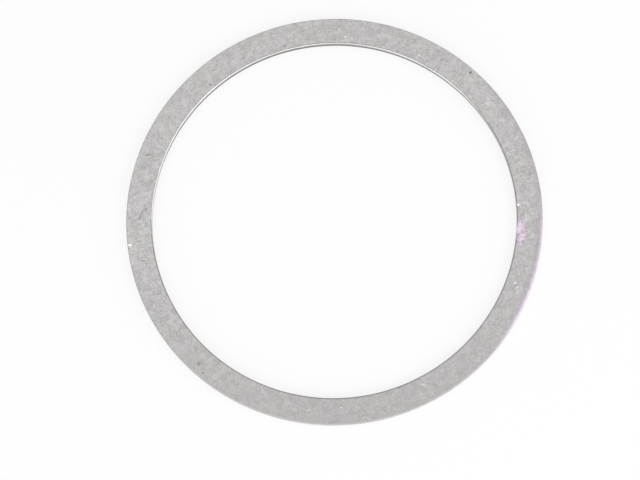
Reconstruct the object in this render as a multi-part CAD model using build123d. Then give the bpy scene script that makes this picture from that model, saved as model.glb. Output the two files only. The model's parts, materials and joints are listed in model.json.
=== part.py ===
from build123d import *
import math
import os

# A flat shim ring, stamped from cold-rolled steel sheet in a progressive die. The first station
# pierces the bore and the second blanks the rim, both from above. A sheared wall has four bands: the
# rolled corner where the sheet was drawn in, the bright land that the tool burnished, the torn band
# where the sheet broke away, and the burr corner, which tumbling has rounded. Piercing leaves the
# roll on the upper face and blanking leaves it on the lower one, so the bore's wall runs from roll
# to burr downwards and the rim's wall runs the other way up. The origin is the centre of the lower
# face, +Z is up, and all lengths are in millimetres.

# Driving dimensions of the ring.
outer_diameter = 61.8          # across the rim's burnished land
radial_width = 3.9             # from the bore's land to the rim's land
thickness = 1.5                # between the two flat faces

# The sheared wall. Each band grows with the sheet that is cut, so each is a share of its thickness.
roll_depth_share = 0.09        # how far the rolled corner drops from its face
roll_width_share = 0.20        # how far the rolled corner runs in over its face
torn_height_share = 0.45       # how far the torn band climbs from the burr's face
torn_angle = 4.0               # degrees that the torn band leans back into the metal
burr_radius_share = 0.03       # the round that tumbling leaves on the burr corner


def draw_wall(wall_radius, outward, roll_up):
    """Draw one sheared wall in the (radius, height) plane, and return its ends, lower one first.

    outward is 1 for the rim, where the air lies outside the wall, and -1 for the bore. roll_up is
    True where the rolled corner meets the upper face and the burr corner the lower one.
    """

    def above_burr(rise):
        """Give the height of a point that lies this far from the burr's face."""
        return rise if roll_up else thickness - rise

    burr_radius = burr_radius_share * thickness
    torn_height = torn_height_share * thickness
    lean = (torn_height - burr_radius) * math.tan(math.radians(torn_angle))
    foot_radius = wall_radius - outward * lean
    land_end = thickness - roll_depth_share * thickness
    burr_on_face = (foot_radius - outward * burr_radius, above_burr(0.0))
    burr_on_wall = (foot_radius, above_burr(burr_radius))
    land_start = (wall_radius, above_burr(torn_height))
    roll_on_wall = (wall_radius, above_burr(land_end))
    roll_on_face = (wall_radius - outward * roll_width_share * thickness, above_burr(thickness))
    TangentArc(burr_on_face, burr_on_wall, tangent=(outward, 0.0))
    Polyline(burr_on_wall, land_start, roll_on_wall)
    TangentArc(roll_on_face, roll_on_wall, tangent=(outward, 0.0))
    return (burr_on_face, roll_on_face) if roll_up else (roll_on_face, burr_on_face)


def make_shim_ring():
    """Turn the sheared section once round the Z axis."""
    rim_radius = outer_diameter / 2.0
    bore_radius = rim_radius - radial_width
    with BuildPart() as ring:
        with BuildSketch(Plane.XZ):
            with BuildLine():
                bore_lower, bore_upper = draw_wall(bore_radius, outward=-1, roll_up=True)
                rim_lower, rim_upper = draw_wall(rim_radius, outward=1, roll_up=False)
                Line(bore_lower, rim_lower)
                Line(bore_upper, rim_upper)
            make_face()
        revolve(axis=Axis.Z)
    return ring.part


os.makedirs("parts", exist_ok=True)
export_step(make_shim_ring(), "parts/shim_ring.step")
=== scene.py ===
"""A stamped steel shim ring on a white table, laid out as an add-on with one sidebar panel."""
import json
import math

import bpy
import numpy as np
from bpy.props import FloatProperty, IntProperty, PointerProperty, StringProperty
from mathutils import Matrix, Vector


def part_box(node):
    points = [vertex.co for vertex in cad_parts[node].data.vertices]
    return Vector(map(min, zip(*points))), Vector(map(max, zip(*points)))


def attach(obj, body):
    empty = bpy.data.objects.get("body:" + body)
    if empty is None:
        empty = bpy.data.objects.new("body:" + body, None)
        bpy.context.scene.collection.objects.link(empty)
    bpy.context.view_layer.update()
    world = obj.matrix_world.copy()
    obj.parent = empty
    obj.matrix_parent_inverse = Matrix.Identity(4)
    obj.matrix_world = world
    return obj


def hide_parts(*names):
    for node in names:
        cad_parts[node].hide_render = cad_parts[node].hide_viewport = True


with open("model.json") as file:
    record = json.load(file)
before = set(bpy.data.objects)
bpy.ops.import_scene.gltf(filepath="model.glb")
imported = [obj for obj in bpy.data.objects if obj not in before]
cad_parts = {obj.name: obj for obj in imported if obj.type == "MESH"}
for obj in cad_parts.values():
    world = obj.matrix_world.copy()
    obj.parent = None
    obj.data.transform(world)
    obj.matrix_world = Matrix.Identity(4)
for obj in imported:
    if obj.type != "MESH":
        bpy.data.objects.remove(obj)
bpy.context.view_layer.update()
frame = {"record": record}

bl_info = {
    "name": "Stamped shim ring",
    "version": (1, 0, 0),
    "blender": (4, 5, 0),
    "location": "View3D > Sidebar > Shim ring",
    "description": "Builds a stamped steel shim ring and the white table that it lies on",
    "category": "Object",
}

# Sizes that the frame gives, in millimetres.
MM = 0.001
mounts = {mount["name"]: mount for mount in frame["record"]["mounts"]}
ring_low, ring_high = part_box("shim_ring")
RIM_RADIUS = mounts["rim"]["dims"]["r_mm"]
BORE_RADIUS = mounts["bore"]["dims"]["r_mm"]
THICKNESS = (ring_high.z - ring_low.z) / MM

# How many points a section has on each part of a wall and inside each flat face.
BURR_POINTS, TORN_POINTS, LAND_POINTS, ROLL_POINTS = 4, 8, 5, 10
LOWER_FACE_POINTS, UPPER_FACE_POINTS = 4, 6
# The bands that the materials tell apart. Flat faces and the flat half of a roll are all FLAT.
FLAT, TORN, LAND, ROLL = 0, 1, 2, 3
# A rolled corner with the power 1 is a quarter ellipse, and a higher power makes it flatter.
ROLL_POWER = 1.3

# Real sizes of the metal's patterns, in millimetres. A tumbled grain is finer than a tenth of a
# millimetre, and is drawn coarser here so that it shows.
FACE_GRAIN, TORN_GRAIN, LAND_STREAK = 0.27, 0.16, 0.22
MOTTLE, OIL_FILM, PIT_SPACING, DYE_STREAK = 1.2, 2.6, 0.9, 0.60
PALE_SCRATCH_SPACING, DARK_SCRATCH_SPACING = 2.4, 3.1
MARK_FRAY, DYE_FRAY = 0.30, 0.5

# Marks of use on the upper face. Each has its angle round the ring, to half a degree, its distance out
# from the bore, to a tenth of a millimetre, its length and width in millimetres, the angle in degrees
# from the radius to its length, and how strongly it shows.
DARK_MARKS = (
    (171.5, 1.7, 2.20, 0.32, 70, 0.50),
    (169.5, 1.0, 0.60, 0.20, 75, 0.75),
    (153.0, 2.5, 1.00, 0.34, 30, 0.50),
    (40.5, 3.2, 0.55, 0.32, 20, 1.00),
    (62.5, 0.4, 0.34, 0.26, 0, 0.80),
    (49.5, 2.2, 0.36, 0.28, 0, 0.60),
    (111.5, 1.4, 0.55, 0.26, 80, 0.55),
    (124.5, 0.8, 0.42, 0.30, 0, 0.55),
    (220.5, 2.5, 0.60, 0.50, 0, 0.55),
    (223.0, 3.2, 0.34, 0.28, 0, 0.60),
    (121.0, 2.3, 1.30, 0.22, 60, 0.35),
    (98.5, 0.7, 0.36, 0.28, 0, 0.55),
)
PALE_MARKS = (
    (357.0, 0.3, 0.50, 0.40, 0, 1.00),
    (180.0, 3.5, 0.60, 0.45, 0, 0.90),
    (332.5, 1.5, 0.40, 0.25, 40, 0.80),
    (331.5, 2.0, 0.45, 0.20, 60, 0.60),
    (265.0, 1.5, 0.70, 0.16, 85, 0.45),
    (79.5, 1.1, 0.40, 0.20, 70, 0.60),
    (77.5, 0.9, 0.40, 0.20, 40, 0.50),
    (56.0, 1.1, 0.30, 0.25, 0, 0.60),
)
# Where the marking dye lies: a blot beside the bore, a fringe along the rim, and a wider faint haze.
# The blot is given as a mark is, all but its strength. The others have their middle and their reach
# each way in degrees, their depth from the rim in millimetres, and their strength.
DYE_BLOT = (348.5, 0.7, 1.50, 4.40, 0)
DYE_FRINGE = (336, 24, 0.40, 0.80)
DYE_HAZE = (352, 48, 1.10, 0.50)

# The soft boxes: the start of each one's name, its elevation and azimuth in degrees, and its distance
# from the ring in millimetres. All are squares with sides of one size, in millimetres.
SOFT_BOXES = (
    ("overhead", 76, 90, 500),
    ("near_left", 35, 225, 480),
    ("near_right", 35, 290, 480),
    ("right", 35, 342, 480),
)
SOFT_BOX_SIZE = 420
# The table's half width and how far it lies below the ring, in millimetres.
TABLE_HALF_WIDTH, TABLE_CLEARANCE = 600, 0.005
# The room's wall is white up to one elevation in degrees, and has faded into the room at the other.
WALL_FULL, WALL_GONE = 10, 18


# ---------------------------------------------------------------- sizes and colours a user may change


class ShimRingShape(bpy.types.PropertyGroup):
    """The bands of the sheared walls and how finely the ring is divided."""

    roll_depth_share: FloatProperty(
        name="Roll depth",
        description="How far the rolled corner drops from its face, as a share of the thickness",
        default=0.09,
        subtype="FACTOR",
    )
    roll_width_share: FloatProperty(
        name="Roll width",
        description="How far the rolled corner runs in over its face, as a share of the thickness",
        default=0.20,
        subtype="FACTOR",
    )
    rim_torn_height_share: FloatProperty(
        name="Torn height, rim",
        description="Height of the rim's torn band from the burr's face, as a share of thickness",
        default=0.45,
        subtype="FACTOR",
    )
    bore_torn_height_share: FloatProperty(
        name="Torn height, bore",
        description="The same for the bore, which the punch has torn higher",
        default=0.70,
        subtype="FACTOR",
    )
    rim_torn_share: FloatProperty(
        name="Torn finish, rim",
        description="How rough and dull the rim's torn band is, where 1 is as the bore's",
        default=0.30,
        subtype="FACTOR",
    )
    torn_angle: FloatProperty(
        name="Torn angle",
        description="How far the torn band leans back into the metal",
        default=math.radians(4.0),
        subtype="ANGLE",
    )
    burr_radius_share: FloatProperty(
        name="Burr round",
        description="Round that tumbling leaves on the burr corner, as a share of the thickness",
        default=0.03,
        subtype="FACTOR",
    )
    band_wander: FloatProperty(
        name="Band wander",
        description="How much the bands' heights vary round the ring, as a share of each",
        default=0.16,
        subtype="FACTOR",
    )
    torn_roughness: FloatProperty(
        name="Torn relief",
        description="Height of the torn band's broken grain",
        default=0.012 * MM,
        unit="LENGTH",
    )
    steps_round: IntProperty(
        name="Steps round",
        description="Number of sections round the ring",
        default=1536,
        min=96,
    )


class ShimRingFinish(bpy.types.PropertyGroup):
    """Colours of the metal and of what has stained it, as sRGB hex values."""

    steel: StringProperty(
        name="Steel",
        description="The rolled faces after tumbling",
        default="#C5C3C3",
    )
    # This colour is also laid over the near and far sides of the upper face as painted shade.
    steel_shade: StringProperty(
        name="Steel shade",
        description="The darker grain of the rolled faces",
        default="#A8A5A5",
    )
    steel_light: StringProperty(
        name="Steel, rubbed",
        description="Where tumbling has rubbed the faces brighter",
        default="#CDCBCA",
    )
    warm_tint: StringProperty(
        name="Warm tint",
        description="Faint oil film, towards yellow",
        default="#BDBCB3",
    )
    cool_tint: StringProperty(
        name="Cool tint",
        description="Faint oxide film, towards lilac",
        default="#BDB8BE",
    )
    land: StringProperty(
        name="Burnished steel",
        description="The land that the punch and die have burnished",
        default="#D8D6D4",
    )
    # Drawn darker than torn steel is: partly the dull broken grain, partly painted shade on the walls.
    torn: StringProperty(
        name="Torn steel",
        description="The broken grain of the torn band",
        default="#5E5B5A",
    )
    nick: StringProperty(
        name="Fresh nick",
        description="Bare bright metal where something has struck the ring",
        default="#F4F3F1",
    )
    grime: StringProperty(
        name="Grime",
        description="What sits in pits, scratches and corners",
        default="#6F6B69",
    )
    dye_haze: StringProperty(
        name="Marking dye, faint",
        description="The metal where a trace of the dye has been wiped over it",
        default="#A69FA6",
    )
    dye: StringProperty(
        name="Marking dye",
        description="The thin violet dye that marks the ring's size",
        default="#E8D8EA",
    )
    dye_dark: StringProperty(
        name="Marking dye, thick",
        description="The same dye where it has dried in streaks",
        default="#B7A4B8",
    )


class ShimRingStage(bpy.types.PropertyGroup):
    """The table, the lamps and the camera. A radiance of 1 shows as white."""

    card: StringProperty(
        name="Card",
        description="The white card that the ring lies on, as an sRGB hex value",
        default="#FAFAFA",
    )
    camera_elevation: FloatProperty(
        name="Camera elevation",
        description="Height of the line of sight above the table's plane",
        default=math.radians(76.2),
        subtype="ANGLE",
    )
    camera_roll: FloatProperty(
        name="Camera roll",
        description="How far the camera is turned about its line of sight",
        default=math.radians(-7.3),
        subtype="ANGLE",
    )
    camera_distance: FloatProperty(
        name="Camera distance",
        description="From the camera to the ring's centre",
        default=618.0 * MM,
        unit="LENGTH",
    )
    field_width: FloatProperty(
        name="Field width",
        description="How much of the table the picture takes in across, at the ring",
        default=94.8 * MM,
        unit="LENGTH",
    )
    aim_left: FloatProperty(
        name="Aim left",
        description="How far left of the ring's centre the camera aims",
        default=2.09 * MM,
        unit="LENGTH",
    )
    aim_below: FloatProperty(
        name="Aim below",
        description="How far below the ring's centre the camera aims",
        default=3.13 * MM,
        unit="LENGTH",
    )
    room_light: FloatProperty(
        name="Room light",
        description="Radiance of the room, all round",
        default=0.44,
        min=0.0,
    )
    overhead_light: FloatProperty(
        name="Overhead light",
        description="Radiance of the overhead soft box",
        default=0.775,
        min=0.0,
    )
    near_left_light: FloatProperty(
        name="Near left light",
        description="Radiance of the soft box on the near left",
        default=1.2,
        min=0.0,
    )
    near_right_light: FloatProperty(
        name="Near right light",
        description="Radiance of the soft box on the near right",
        default=1.1,
        min=0.0,
    )
    right_light: FloatProperty(
        name="Right light",
        description="Radiance of the soft box on the right",
        default=1.2,
        min=0.0,
    )
    card_glow: FloatProperty(
        name="Card glow",
        description="How much of the table shows as plain white, which thins the shadow on it",
        default=0.8,
        subtype="FACTOR",
    )


# ---------------------------------------------------------------- small helpers


def linear(hex_colour):
    """Turn an sRGB hex value into a linear colour with full alpha."""
    parts = np.array([int(hex_colour[i : i + 2], 16) for i in (1, 3, 5)]) / 255.0
    low, high = parts / 12.92, ((parts + 0.055) / 1.055) ** 2.4
    return (*np.where(parts <= 0.04045, low, high).tolist(), 1.0)


def connect(tree, node, inputs):
    """Give sockets of a node, by name or number, a value or a link.

    A link comes from a socket, or from a node, which then stands for its first output in use.
    """
    for name, value in inputs.items():
        if isinstance(value, bpy.types.Node):
            value = next(socket for socket in value.outputs if socket.enabled)
        if isinstance(value, bpy.types.NodeSocket):
            tree.links.new(value, node.inputs[name])
        else:
            node.inputs[name].default_value = value


def add(tree, kind, inputs=None, **settings):
    """Add one shader node with its own settings and with what its sockets are given."""
    made = tree.nodes.new(kind)
    for name, value in settings.items():
        setattr(made, name, value)
    connect(tree, made, inputs or {})
    return made


def per_metre(size_mm):
    """Give a pattern's scale, for coordinates in metres, from its real size in millimetres."""
    return 1.0 / (size_mm * MM)


def wander(theta, slowest, fastest, seed):
    """Give a smooth random curve round the ring, from -1 to 1.

    It is a sum of cosines with whole numbers of waves, so that it closes on itself, each as high as
    one over the root of its wave count and with a random start.
    """
    waves = np.arange(slowest, fastest + 1)
    starts = np.random.default_rng(seed).uniform(0.0, 2.0 * np.pi, waves.size)
    curve = np.cos(theta[..., None] * waves + starts) @ (1.0 / np.sqrt(waves))
    return curve / np.abs(curve).max()


# ---------------------------------------------------------------- the ring


def sheared_wall(theta, shape, torn_height_share, seed):
    """Give one sheared wall as (inset, rise, band) arrays: inset and rise have a row for each angle.

    inset is how far a point lies in the metal from the land, rise how far it lies from the burr's
    face, and band which band it is on. From the burr's face the points run along a quarter circle,
    the leaning torn band, the straight land, and the rolled corner that meets the other face, where
    inset is one minus the cosine and rise is the sine of one angle, each to ROLL_POWER. Only the
    steep half of the roll counts as ROLL. The heights of the torn band and the roll wander round
    the ring.
    """
    drift = shape.band_wander
    torn_height = torn_height_share * THICKNESS * (1.0 + drift * wander(theta, 3, 90, seed))
    roll_width = shape.roll_width_share * THICKNESS * (1.0 + drift * wander(theta, 2, 40, seed + 1))
    roll_depth = shape.roll_depth_share * THICKNESS * (1.0 + drift * wander(theta, 2, 40, seed + 2))
    burr = shape.burr_radius_share * THICKNESS
    torn_height, roll_width, roll_depth = (a[:, None] for a in (torn_height, roll_width, roll_depth))
    lean = (torn_height - burr) * math.tan(shape.torn_angle)

    turn = np.linspace(0.0, np.pi / 2, BURR_POINTS)[None, :]
    burr_inset = lean + burr * (1.0 - np.sin(turn))
    burr_rise = burr * (1.0 - np.cos(turn)) + 0.0 * lean

    # The relief is held past held_from of the climb, so the line between torn band and land is ragged.
    held_from = 0.85
    climb = np.linspace(0.0, 1.0, TORN_POINTS + 1)[None, 1:]
    torn_rise = burr + (torn_height - burr) * climb
    grain = torn_grain(theta, torn_rise, seed + 3) * np.sin(np.pi * np.minimum(climb, held_from))
    torn_inset = lean * (1.0 - climb) + shape.torn_roughness / MM * grain

    land_top = THICKNESS - roll_depth
    along = np.linspace(0.0, 1.0, LAND_POINTS + 1)[None, 1:]
    land_rise = torn_height + (land_top - torn_height) * along
    land_inset = 0.0 * land_rise

    bend = np.linspace(0.0, np.pi / 2, ROLL_POINTS + 1)[None, 1:]
    roll_inset = roll_width * (1.0 - np.cos(bend) ** ROLL_POWER)
    roll_rise = land_top + roll_depth * np.sin(bend) ** ROLL_POWER

    inset = np.concatenate([burr_inset, torn_inset, land_inset, roll_inset], axis=1)
    rise = np.concatenate([burr_rise, torn_rise, land_rise, roll_rise], axis=1)
    steep = ROLL_POINTS // 2
    counts = [BURR_POINTS + TORN_POINTS, LAND_POINTS, steep, ROLL_POINTS - steep]
    return inset, rise, np.repeat([TORN, LAND, ROLL, FLAT], counts)


def torn_grain(theta, rise, seed):
    """Give the torn band's broken relief, from about -1 to 1, over the angle and the rise.

    It is a sum of plane waves over the unrolled wall, each with a whole number of waves round the
    ring and its own slant, so that it closes on itself.
    """
    chance = np.random.default_rng(seed)
    count = 48
    fewest_round, most_round = 60, 340
    steepest_up = 9.0  # radians for each millimetre of rise
    round_waves = chance.integers(fewest_round, most_round, count)
    up_waves = chance.uniform(-steepest_up, steepest_up, count)
    starts = chance.uniform(0.0, 2.0 * np.pi, count)
    phase = theta[:, None, None] * round_waves + rise[:, :, None] * up_waves + starts
    return np.cos(phase).sum(axis=2) / math.sqrt(count)


def ring_surface(shape):
    """Give the ring's vertices as a closed grid, angle by section point, and each point's band.

    A section runs once round: outwards over the lower face, up the rim's wall, inwards over the
    upper face and down the bore's wall. Blanking leaves the rim's roll on the lower face, and
    piercing leaves the bore's roll on the upper one.
    """
    theta = np.arange(shape.steps_round) * (2.0 * np.pi / shape.steps_round)
    rim_inset, rim_rise, band = sheared_wall(theta, shape, shape.rim_torn_height_share, seed=11)
    bore_inset, bore_rise, _ = sheared_wall(theta, shape, shape.bore_torn_height_share, seed=31)
    rim_radius, rim_height = RIM_RADIUS - rim_inset[:, ::-1], THICKNESS - rim_rise[:, ::-1]
    bore_radius, bore_height = BORE_RADIUS + bore_inset[:, ::-1], bore_rise[:, ::-1]

    def across(start, end, count):
        """Divide a flat face between two walls, ends left out and closer together near them."""
        share = 0.5 - 0.5 * np.cos(np.linspace(0.0, np.pi, count + 2)[None, 1:-1])
        return start[:, None] + (end - start)[:, None] * share

    lower = across(bore_radius[:, -1], rim_radius[:, 0], LOWER_FACE_POINTS)
    upper = across(rim_radius[:, -1], bore_radius[:, 0], UPPER_FACE_POINTS)
    radius = np.concatenate([lower, rim_radius, upper, bore_radius], axis=1)
    height = np.concatenate(
        [0.0 * lower, rim_height, 0.0 * upper + THICKNESS, bore_height], axis=1
    )
    below, above = np.full(LOWER_FACE_POINTS, FLAT), np.full(UPPER_FACE_POINTS, FLAT)
    bands = np.concatenate([below, band[::-1], above, band[::-1]])
    points = np.stack(
        [radius * np.cos(theta)[:, None], radius * np.sin(theta)[:, None], height], axis=2
    )
    return points, bands


def closed_grid_mesh(name, points, bands, rim_torn_share):
    """Make a mesh of quads, faces outwards, from a grid of points that is closed both ways.

    Each quad joins a point to the next ones round the ring and along the section. Quads on the torn
    band and the land get the second material. The torn band and the roll each have an attribute that
    is 1 on them and 0 elsewhere, except that it is rim_torn_share on the rim's torn band.
    """
    rounds, sections = points.shape[:2]
    index = np.arange(rounds * sections).reshape(rounds, sections)
    ahead, up = np.roll(index, -1, axis=0), np.roll(index, -1, axis=1)
    quads = np.stack([index, ahead, np.roll(ahead, -1, axis=1), up], axis=2).reshape(-1, 4)
    mesh = bpy.data.meshes.new(name)
    mesh.vertices.add(index.size)
    mesh.vertices.foreach_set("co", (points * MM).astype(np.float32).ravel())
    mesh.loops.add(quads.size)
    mesh.loops.foreach_set("vertex_index", quads.astype(np.int32).ravel())
    mesh.polygons.add(len(quads))
    mesh.polygons.foreach_set("loop_start", np.arange(0, quads.size, 4, dtype=np.int32))
    mesh.polygons.foreach_set("loop_total", np.full(len(quads), 4, np.int32))
    is_wall = np.isin(bands, (TORN, LAND)) & np.isin(np.roll(bands, -1), (TORN, LAND))
    mesh.polygons.foreach_set("material_index", np.tile(is_wall, rounds).astype(np.int32))
    mesh.polygons.foreach_set("use_smooth", np.ones(len(quads), bool))
    mesh.update(calc_edges=True)
    mesh.validate()
    on_rim = np.arange(sections) < sections // 2
    torn = np.where(on_rim, rim_torn_share, 1.0) * (bands == TORN)
    for label, mask in (("torn", torn), ("roll", bands == ROLL)):
        values = np.tile(mask.astype(np.float32), rounds)
        mesh.attributes.new(label, "FLOAT", "POINT").data.foreach_set("value", values)
    return mesh


# ---------------------------------------------------------------- materials


def stain(tree, metal, mask, start, full, share, colour):
    """Lay a colour over the metal by a mask, from none where that is start to a share at full."""
    cover = add(tree, "ShaderNodeMapRange", {
        "Value": mask, "From Min": start, "From Max": full, "To Max": share,
    })
    laid = {"Factor": cover, "A": metal, "B": colour}
    return add(tree, "ShaderNodeMix", laid, data_type="RGBA").outputs["Result"]


def smudge(tree, place, angle, out, length, width, turn, ragged=0.35):
    """Give a mask of one ragged elliptical mark on the upper face, 1 inside and 0 outside.

    The mask falls off where the distance from the mark's centre, in half lengths and half widths,
    plus cloudy noise passes 1. angle is the mark's place round the ring in degrees and out its
    distance from the bore; length and width are its size in millimetres, and turn is the angle in
    degrees from the radius to its length.
    """
    spot = math.radians(angle)
    radius = (BORE_RADIUS + out) * MM
    centred = add(tree, "ShaderNodeMapping", {
        "Vector": place,
        "Location": (radius * math.cos(spot), radius * math.sin(spot), THICKNESS * MM),
        "Rotation": (0.0, 0.0, spot + math.radians(turn)),
        "Scale": (0.5 * length * MM, 0.5 * width * MM, 0.5 * THICKNESS * MM),
    }, vector_type="TEXTURE")
    reach = add(tree, "ShaderNodeVectorMath", {0: centred}, operation="LENGTH")
    fray = add(tree, "ShaderNodeTexNoise", {"Vector": place, "Scale": per_metre(MARK_FRAY)})
    frayed = add(tree, "ShaderNodeMath", {
        0: fray, 1: 2.0 * ragged, 2: reach,
    }, operation="MULTIPLY_ADD")
    return add(tree, "ShaderNodeMapRange", {
        "Value": frayed,
        "From Min": 0.7 + ragged, "From Max": 1.1 + ragged, "To Min": 1.0, "To Max": 0.0,
    })


def along_rim(tree, place, angle, half_angle, depth, strength):
    """Give a mask of a ragged stripe along the rim that fades out at its ends and inwards.

    It is the product of two ramps: over the distance from the axis, frayed by cloudy noise, and over
    the angle away from the stripe's middle. angle is that middle and half_angle the reach each way,
    in degrees, depth is how far it comes in from the rim in millimetres, and strength is its share
    at the most.
    """
    turned = add(tree, "ShaderNodeMapping", {
        "Vector": place, "Rotation": (0.0, 0.0, -math.radians(angle)),
    })
    part = add(tree, "ShaderNodeSeparateXYZ", {"Vector": turned})
    away = add(tree, "ShaderNodeMath", {
        0: part.outputs["Y"], 1: part.outputs["X"],
    }, operation="ARCTAN2")
    away = add(tree, "ShaderNodeMath", {0: away}, operation="ABSOLUTE")
    half = math.radians(half_angle)
    ends = add(tree, "ShaderNodeMapRange", {
        "Value": away, "From Min": 0.55 * half, "From Max": half, "To Min": strength, "To Max": 0.0,
    })
    flat = add(tree, "ShaderNodeVectorMath", {0: turned, 1: (1.0, 1.0, 0.0)}, operation="MULTIPLY")
    reach = add(tree, "ShaderNodeVectorMath", {0: flat}, operation="LENGTH")
    fray = add(tree, "ShaderNodeTexNoise", {
        "Vector": place, "Scale": per_metre(DYE_FRAY), "Detail": 3.0,
    })
    frayed = add(tree, "ShaderNodeMath", {
        0: fray, 1: 1.5 * depth * MM, 2: reach,
    }, operation="MULTIPLY_ADD")
    stripe = add(tree, "ShaderNodeMapRange", {
        "Value": frayed,
        "From Min": (RIM_RADIUS - 0.5 * depth) * MM, "From Max": (RIM_RADIUS + 0.5 * depth) * MM,
    })
    return add(tree, "ShaderNodeMath", {0: stripe, 1: ends}, operation="MULTIPLY")


def hair_scratches(tree, place, spacing, width, distortion):
    """Give a mask of thin curved lines, some spacing millimetres apart, broken into arcs.

    The lines are the contours at the middle level of cloudy noise, width levels wide each way.
    """
    middle, gap_size = 0.5, 0.8 * spacing
    level = add(tree, "ShaderNodeTexNoise", {
        "Vector": place, "Scale": per_metre(spacing), "Detail": 1.0, "Distortion": distortion,
    })
    away = add(tree, "ShaderNodeMath", {0: level, 1: middle}, operation="SUBTRACT")
    away = add(tree, "ShaderNodeMath", {0: away}, operation="ABSOLUTE")
    line = add(tree, "ShaderNodeMapRange", {
        "Value": away, "From Max": width, "To Min": 1.0, "To Max": 0.0,
    })
    gaps = add(tree, "ShaderNodeTexNoise", {
        "Vector": place, "Scale": per_metre(gap_size), "Detail": 3.0,
    })
    kept = add(tree, "ShaderNodeMapRange", {"Value": gaps, "From Min": 0.50, "From Max": 0.62})
    return add(tree, "ShaderNodeMath", {0: line, 1: kept}, operation="MULTIPLY")


def pits(tree, place):
    """Give masks of the few dark and the few pale pits: chance cells of a scatter of round spots."""
    cells = add(tree, "ShaderNodeTexVoronoi", {"Vector": place, "Scale": per_metre(PIT_SPACING)})
    spot = add(tree, "ShaderNodeMapRange", {
        "Value": cells.outputs["Distance"],
        "From Min": 0.10, "From Max": 0.17, "To Min": 1.0, "To Max": 0.0,
    })
    chance = add(tree, "ShaderNodeSeparateColor", {"Color": cells.outputs["Color"]})
    masks = []
    for draw, rare_from, sure_from in (("Red", 0.80, 0.90), ("Green", 0.86, 0.94)):
        picked = add(tree, "ShaderNodeMapRange", {
            "Value": chance.outputs[draw], "From Min": rare_from, "From Max": sure_from,
        })
        masks.append(add(tree, "ShaderNodeMath", {0: spot, 1: picked}, operation="MULTIPLY"))
    return masks


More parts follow.
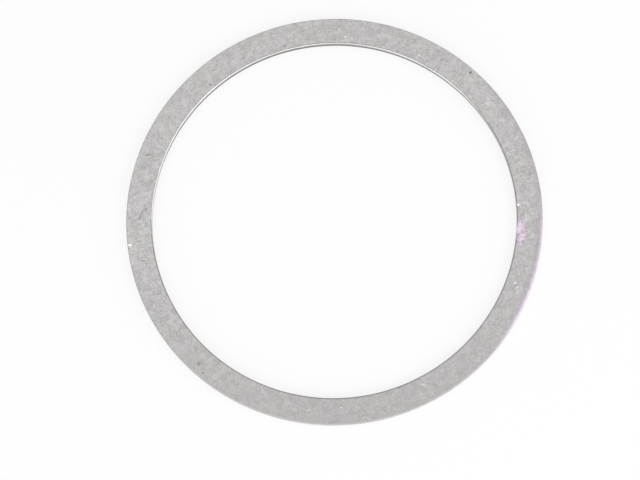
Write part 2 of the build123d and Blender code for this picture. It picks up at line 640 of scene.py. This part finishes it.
def steel_face_material(finish):
    """Cold-rolled steel sheet, stamped and tumbled: satin grey with a fine mottled grain.

    The rolls leave a soft sheen, and tumbling in media leaves small dull spots and hair-thin
    scratches in every direction, so the eye sees a grey that is lively from close by. Marking dye
    dulls it where it lies, because that is a coat and not metal.
    """
    material = bpy.data.materials.new("cold_rolled_steel_tumbled")
    material.use_nodes = True
    tree = material.node_tree
    place = add(tree, "ShaderNodeTexCoord").outputs["Object"]
    grain = add(tree, "ShaderNodeTexNoise", {
        "Vector": place, "Scale": per_metre(FACE_GRAIN), "Detail": 3.0, "Roughness": 0.8,
    })
    mottle = add(tree, "ShaderNodeTexNoise", {
        "Vector": place, "Scale": per_metre(MOTTLE),
        "Detail": 3.0, "Roughness": 0.6, "Distortion": 0.6,
    })
    film = add(tree, "ShaderNodeTexNoise", {
        "Vector": place, "Scale": per_metre(OIL_FILM), "Detail": 3.0, "Distortion": 0.8,
    })
    along = add(tree, "ShaderNodeSeparateXYZ", {"Vector": place}).outputs["Y"]
    dark_pits, pale_pits = pits(tree, place)
    pale_scratches = hair_scratches(tree, place, PALE_SCRATCH_SPACING, 0.010, 0.8)
    dark_scratches = hair_scratches(tree, place, DARK_SCRATCH_SPACING, 0.009, 1.1)

    # Each layer has its mask, where on the mask it starts and is full, its share there and its colour.
    rim = RIM_RADIUS * MM
    layers = [
        (grain, 0.43, 0.57, 1.00, finish.steel),
        (mottle, 0.50, 0.72, 0.55, finish.steel_shade),
        (mottle, 0.50, 0.30, 0.45, finish.steel_light),
        (film, 0.52, 0.70, 0.40, finish.warm_tint),
        (film, 0.48, 0.30, 0.45, finish.cool_tint),
        # Painted shade: the upper face is drawn darker towards its near side, along -Y, and a little
        # darker towards its far side, standing in for how the light falls there.
        (along, -0.1 * rim, -rim, 0.55, finish.steel_shade),
        (along, 0.1 * rim, rim, 0.20, finish.steel_shade),
        (pale_scratches, 0.0, 1.0, 0.70, finish.land),
        (dark_scratches, 0.0, 1.0, 0.40, finish.grime),
        (dark_pits, 0.0, 1.0, 0.50, finish.grime),
        (pale_pits, 0.0, 1.0, 0.60, finish.land),
    ]
    for marks, colour in ((DARK_MARKS, finish.grime), (PALE_MARKS, finish.nick)):
        for *where, share in marks:
            layers.append((smudge(tree, place, *where), 0.0, 1.0, share, colour))
    roll = add(tree, "ShaderNodeAttribute", attribute_name="roll").outputs["Fac"]
    layers.append((roll, 0.0, 1.0, 0.80, finish.land))
    layers.append((along_rim(tree, place, *DYE_HAZE), 0.0, 1.0, 1.00, finish.dye_haze))
    metal = linear(finish.steel_shade)
    for mask, start, full, share, colour in layers:
        metal = stain(tree, metal, mask, start, full, share, linear(colour))

    thin, thick = linear(finish.dye), linear(finish.dye_dark)
    streaks = add(tree, "ShaderNodeTexNoise", {
        "Vector": place, "Scale": per_metre(DYE_STREAK), "Distortion": 1.2,
    })
    blot = smudge(tree, place, *DYE_BLOT, ragged=0.6)
    fringe = along_rim(tree, place, *DYE_FRINGE)
    dried = stain(tree, thin, streaks, 0.46, 0.60, 1.0, thick)
    metal = stain(tree, metal, blot, 0.0, 1.0, 1.0, dried)
    metal = stain(tree, metal, fringe, 0.0, 1.0, 1.0, thin)
    dye = add(tree, "ShaderNodeMath", {0: blot, 1: fringe}, operation="MAXIMUM")

    bare, dye_metallic = 1.0, 0.15
    smooth, dull, rubbed_off, dye_added = 0.27, 0.33, -0.12, 0.25
    metallic = add(tree, "ShaderNodeMapRange", {
        "Value": dye, "To Min": bare, "To Max": dye_metallic,
    })
    rough = add(tree, "ShaderNodeMapRange", {
        "Value": mottle, "From Min": 0.3, "From Max": 0.7, "To Min": smooth, "To Max": dull,
    })
    rough = add(tree, "ShaderNodeMath", {0: roll, 1: rubbed_off, 2: rough}, operation="MULTIPLY_ADD")
    rough = add(tree, "ShaderNodeMath", {0: dye, 1: dye_added, 2: rough}, operation="MULTIPLY_ADD")
    bump = add(tree, "ShaderNodeBump", {
        "Height": grain, "Strength": 0.3, "Distance": 0.006 * MM,
    })
    connect(tree, tree.nodes["Principled BSDF"], {
        "Base Color": metal, "Metallic": metallic, "Roughness": rough, "Normal": bump,
    })
    return material


def sheared_wall_material(finish):
    """Sheared steel: a bright burnished land beside a dull torn band.

    The land is drawn up and down by the punch, so its streaks run along the axis and it mirrors what
    it faces, and the torn band is broken grain, which scatters the light. The torn band's dark colour
    is partly that dull grain and partly painted shade.
    """
    material = bpy.data.materials.new("sheared_steel_wall")
    material.use_nodes = True
    tree = material.node_tree
    place = add(tree, "ShaderNodeTexCoord").outputs["Object"]
    drawn_out = 0.08
    drawn = add(tree, "ShaderNodeMapping", {"Vector": place, "Scale": (1.0, 1.0, drawn_out)})
    streak = add(tree, "ShaderNodeTexNoise", {
        "Vector": drawn, "Scale": per_metre(LAND_STREAK), "Detail": 3.0, "Roughness": 0.7,
    })
    streak = add(tree, "ShaderNodeMapRange", {"Value": streak, "From Min": 0.35, "From Max": 0.70})
    grain = add(tree, "ShaderNodeTexNoise", {
        "Vector": place, "Scale": per_metre(TORN_GRAIN), "Detail": 3.0, "Roughness": 0.7,
    })
    torn = add(tree, "ShaderNodeAttribute", attribute_name="torn").outputs["Fac"]
    dye = along_rim(tree, place, *DYE_FRINGE)

    land = stain(tree, linear(finish.land), streak, 0.0, 1.0, 1.0, linear(finish.steel))
    # The torn band's dark colour is partly dull broken grain and partly painted shade along the walls.
    broken = stain(
        tree, linear(finish.torn), grain, 0.35, 0.65, 1.0, linear(finish.steel_shade)
    )
    metal = stain(tree, land, torn, 0.0, 1.0, 1.0, broken)
    metal = stain(tree, metal, dye, 0.0, 1.0, 1.0, linear(finish.dye))
    bare, dye_metallic = 1.0, 0.2
    burnished, torn_dull, streak_added = 0.20, 0.60, 0.08
    metallic = add(tree, "ShaderNodeMapRange", {
        "Value": dye, "To Min": bare, "To Max": dye_metallic,
    })
    rough = add(tree, "ShaderNodeMapRange", {
        "Value": torn, "To Min": burnished, "To Max": torn_dull,
    })
    rough = add(tree, "ShaderNodeMath", {
        0: streak, 1: streak_added, 2: rough,
    }, operation="MULTIPLY_ADD")
    bump = add(tree, "ShaderNodeBump", {
        "Height": grain, "Strength": torn, "Distance": 0.012 * MM,
    })
    connect(tree, tree.nodes["Principled BSDF"], {
        "Base Color": metal, "Metallic": metallic, "Roughness": rough, "Normal": bump,
    })
    return material


# ---------------------------------------------------------------- operators


class SHIMRING_OT_make_ring(bpy.types.Operator):
    """Build the ring with its sheared walls and its steel, in place of the plain solid"""

    bl_idname = "shimring.make_ring"
    bl_label = "Make the shim ring"

    def execute(self, context):
        scene = context.scene
        shape = scene.shim_ring_shape
        points, bands = ring_surface(shape)
        mesh = closed_grid_mesh("shim_ring_steel", points, bands, shape.rim_torn_share)
        mesh.materials.append(steel_face_material(scene.shim_ring_finish))
        mesh.materials.append(sheared_wall_material(scene.shim_ring_finish))
        ring = bpy.data.objects.new("shim_ring_steel", mesh)
        scene.collection.objects.link(ring)
        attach(ring, "root")
        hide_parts("shim_ring")
        return {"FINISHED"}


class SHIMRING_OT_make_stage(bpy.types.Operator):
    """Lay the white table, and set up the lamps, the room and the camera"""

    bl_idname = "shimring.make_stage"
    bl_label = "Make the stage"

    def execute(self, context):
        scene = context.scene
        stage = scene.shim_ring_stage
        make_table(scene, stage.card, stage.card_glow)
        make_room(scene, stage.room_light)
        for name, elevation, azimuth, distance in SOFT_BOXES:
            radiance = getattr(stage, name + "_light")
            make_soft_box(scene, name + "_soft_box", elevation, azimuth, distance, radiance)
        make_camera(scene, stage)
        scene.view_settings.view_transform = "Standard"
        return {"FINISHED"}


def make_table(scene, card, glow):
    """Lay a flat white card under the ring, just clear of its lower face.

    To the camera, and in the metal, part of it glows white, and the rest keeps the ring's shadow.
    """
    half, height = TABLE_HALF_WIDTH * MM, ring_low.z - TABLE_CLEARANCE * MM
    corners = [(-half, -half), (half, -half), (half, half), (-half, half)]
    mesh = bpy.data.meshes.new("table")
    mesh.from_pydata([(x, y, height) for x, y in corners], [], [(0, 1, 2, 3)])
    material = bpy.data.materials.new("white_card")
    material.use_nodes = True
    tree = material.node_tree
    paper = tree.nodes["Principled BSDF"]
    connect(tree, paper, {"Base Color": linear(card), "Roughness": 0.9, "Specular IOR Level": 0.0})
    rays = add(tree, "ShaderNodeLightPath")
    seen = rays.outputs["Is Camera Ray"]
    for kind in ("Is Glossy Ray", "Is Transmission Ray"):
        seen = add(tree, "ShaderNodeMath", {0: seen, 1: rays.outputs[kind]}, operation="MAXIMUM")
    share = add(tree, "ShaderNodeMath", {0: seen, 1: glow}, operation="MULTIPLY")
    white = add(tree, "ShaderNodeEmission", {"Color": linear("#FFFFFF"), "Strength": 1.0})
    mix = add(tree, "ShaderNodeMixShader", {"Fac": share, 1: paper, 2: white})
    connect(tree, tree.nodes["Material Output"], {"Surface": mix})
    mesh.materials.append(material)
    table = bpy.data.objects.new("table", mesh)
    scene.collection.objects.link(table)


def make_room(scene, radiance):
    """Light the scene evenly from above, inside low white walls that show behind the ring."""
    world = bpy.data.worlds.new("white_room")
    scene.world = world
    world.use_nodes = True
    tree = world.node_tree
    tree.nodes.clear()
    towards = add(tree, "ShaderNodeTexCoord").outputs["Generated"]
    height = add(tree, "ShaderNodeSeparateXYZ", {"Vector": towards}).outputs["Z"]
    light = add(tree, "ShaderNodeMapRange", {
        "Value": height,
        "From Min": math.sin(math.radians(WALL_FULL)), "From Max": math.sin(math.radians(WALL_GONE)),
        "To Min": 1.0, "To Max": radiance,
    })
    room = add(tree, "ShaderNodeBackground", {"Color": linear("#FFFFFF"), "Strength": light})
    add(tree, "ShaderNodeOutputWorld", {"Surface": room})


def make_soft_box(scene, name, elevation, azimuth, distance, radiance):
    """Hang a square soft box that faces the ring, in a direction in degrees, at a distance in mm.

    A flat lamp of area A that gives off the power P has the radiance P / (pi A).
    """
    size = SOFT_BOX_SIZE * MM
    lamp = bpy.data.lights.new(name, "AREA")
    lamp.shape = "SQUARE"
    lamp.size = size
    lamp.energy = radiance * math.pi * size**2
    rise, turn = math.radians(elevation), math.radians(azimuth)
    level = math.cos(rise)
    towards = Vector((level * math.cos(turn), level * math.sin(turn), math.sin(rise)))
    facing = towards.to_track_quat("Z", "Y").to_matrix().to_4x4()
    box = bpy.data.objects.new(name, lamp)
    box.matrix_world = Matrix.Translation(towards * distance * MM) @ facing
    scene.collection.objects.link(box)


def make_camera(scene, stage):
    """Look down at the ring from the near side, turned a little about the line of sight."""
    data = bpy.data.cameras.new("camera")
    data.sensor_width = 36.0
    data.lens = data.sensor_width * stage.camera_distance / stage.field_width
    data.clip_start, data.clip_end = 10.0 * MM, 5000.0 * MM
    camera = bpy.data.objects.new("camera", data)
    tilt = Matrix.Rotation(math.pi / 2 - stage.camera_elevation, 4, "X")
    turned = tilt @ Matrix.Rotation(stage.camera_roll, 4, "Z")
    centre = Vector((0.0, 0.0, ring_high.z))
    right, up, back = (turned.to_3x3().col[i] for i in range(3))
    spot = centre + back * stage.camera_distance
    aim = centre - right * stage.aim_left - up * stage.aim_below
    sight = (spot - aim).normalized()
    across = up.cross(sight).normalized()
    basis = Matrix((across, sight.cross(across), sight)).transposed().to_4x4()
    camera.matrix_world = Matrix.Translation(spot) @ basis
    scene.collection.objects.link(camera)
    scene.camera = camera


class SHIMRING_PT_panel(bpy.types.Panel):
    """Lists the ring's sizes and colours and the operators that build it"""

    bl_idname = "SHIMRING_PT_panel"
    bl_label = "Shim ring"
    bl_space_type = "VIEW_3D"
    bl_region_type = "UI"
    bl_category = "Shim ring"

    def draw(self, context):
        for group in (
            context.scene.shim_ring_shape,
            context.scene.shim_ring_finish,
            context.scene.shim_ring_stage,
        ):
            box = self.layout.box()
            for name in group.__annotations__:
                box.prop(group, name)
        self.layout.operator(SHIMRING_OT_make_ring.bl_idname)
        self.layout.operator(SHIMRING_OT_make_stage.bl_idname)


classes = (
    ShimRingShape,
    ShimRingFinish,
    ShimRingStage,
    SHIMRING_OT_make_ring,
    SHIMRING_OT_make_stage,
    SHIMRING_PT_panel,
)


def register():
    """Register the classes and hang the property groups on the scene."""
    for cls in classes:
        bpy.utils.register_class(cls)
    bpy.types.Scene.shim_ring_shape = PointerProperty(type=ShimRingShape)
    bpy.types.Scene.shim_ring_finish = PointerProperty(type=ShimRingFinish)
    bpy.types.Scene.shim_ring_stage = PointerProperty(type=ShimRingStage)


def unregister():
    """Undo what register did, in the opposite order."""
    del bpy.types.Scene.shim_ring_stage
    del bpy.types.Scene.shim_ring_finish
    del bpy.types.Scene.shim_ring_shape
    for cls in reversed(classes):
        bpy.utils.unregister_class(cls)


def main():
    """Build the ring and the stage."""
    register()
    bpy.ops.shimring.make_ring()
    bpy.ops.shimring.make_stage()


if __name__ == "__main__":
    main()
